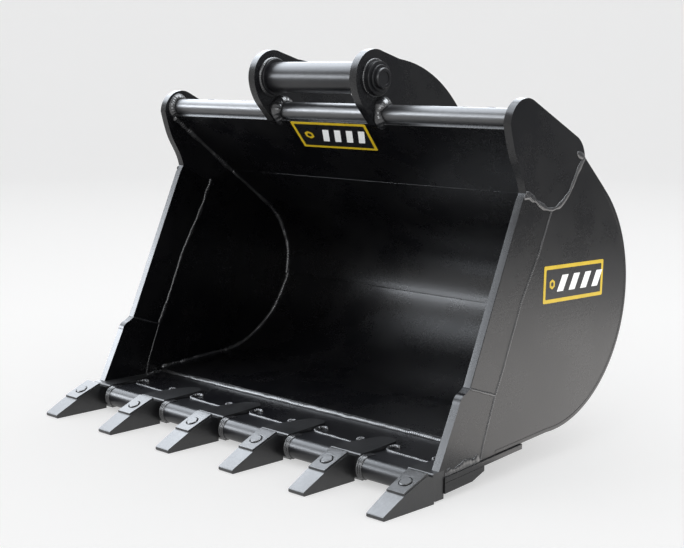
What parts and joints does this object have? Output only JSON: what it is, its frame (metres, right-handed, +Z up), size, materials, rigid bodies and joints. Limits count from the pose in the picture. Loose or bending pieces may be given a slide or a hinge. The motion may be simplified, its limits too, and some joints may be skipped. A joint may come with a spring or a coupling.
{
  "type": "excavator bucket",
  "caption": "Toothed digging bucket welded from plate, with hanger ears, a cross pin and a round top bar.",
  "frame": {"origin": "centre of the overall box on the ground plane, under the flat bottoms of the teeth", "axes": "+X across the bucket, -Y out of the mouth, +Z up"},
  "size_m": [0.956, 0.7179, 0.7595],
  "materials": {
    "plate_paint": "satin black paint on welded plate",
    "cast_paint": "satin black paint on cast steel",
    "turned_paint": "satin black paint on turned steel",
    "sticker": "printed vinyl, yellow border on black"
  },
  "bodies": {
    "bucket": {"wrapper": "plate_paint", "top_plate": "plate_paint", "inner_plate": "plate_paint", "top_bar": "plate_paint", "lip_plate": "plate_paint", "cutting_edge": "plate_paint", "side_plate_left": "plate_paint", "side_plate_right": "plate_paint", "side_cutter_left": "plate_paint", "side_cutter_right": "plate_paint", "lower_corner_left": "plate_paint", "lower_corner_right": "plate_paint", "corner_gusset_left": "plate_paint", "corner_gusset_right": "plate_paint", "hanger_ear_left": "plate_paint", "hanger_ear_right": "plate_paint", "pin_inner_boss_left": "turned_paint", "pin_inner_boss_right": "turned_paint", "pin_outer_boss_left": "turned_paint", "pin_outer_boss_right": "turned_paint", "link_inner_boss_left": "turned_paint", "link_inner_boss_right": "turned_paint", "link_outer_boss_left": "turned_paint", "link_outer_boss_right": "turned_paint", "tooth_adapter_1": "cast_paint", "tooth_adapter_2": "cast_paint", "tooth_adapter_3": "cast_paint", "tooth_adapter_4": "cast_paint", "tooth_adapter_5": "cast_paint", "tooth_adapter_6": "cast_paint", "tooth_1": "cast_paint", "tooth_2": "cast_paint", "tooth_3": "cast_paint", "tooth_4": "cast_paint", "tooth_5": "cast_paint", "tooth_6": "cast_paint", "tooth_pins": "cast_paint", "lip_shroud_1": "cast_paint", "lip_shroud_2": "cast_paint", "lip_shroud_3": "cast_paint", "lip_shroud_4": "cast_paint", "lip_shroud_5": "cast_paint", "side_sticker_left": "sticker", "side_sticker_right": "sticker", "front_sticker": "sticker"},
    "hitch_pin": {"front_pin": "turned_paint", "pin_washer_left": "turned_paint", "pin_washer_right": "turned_paint"},
    "sleeve": {"pin_sleeve": "turned_paint"}
  },
  "joints": [
    {"name": "hitch_pin_turn", "type": "hinge", "parent": "bucket", "child": "hitch_pin", "pos_m": [0, -0.018, 0.705], "axis": [1, 0, 0], "continuous": true},
    {"name": "sleeve_turn", "type": "hinge", "parent": "hitch_pin", "child": "sleeve", "pos_m": [0, -0.018, 0.705], "axis": [1, 0, 0], "continuous": true}
  ]
}
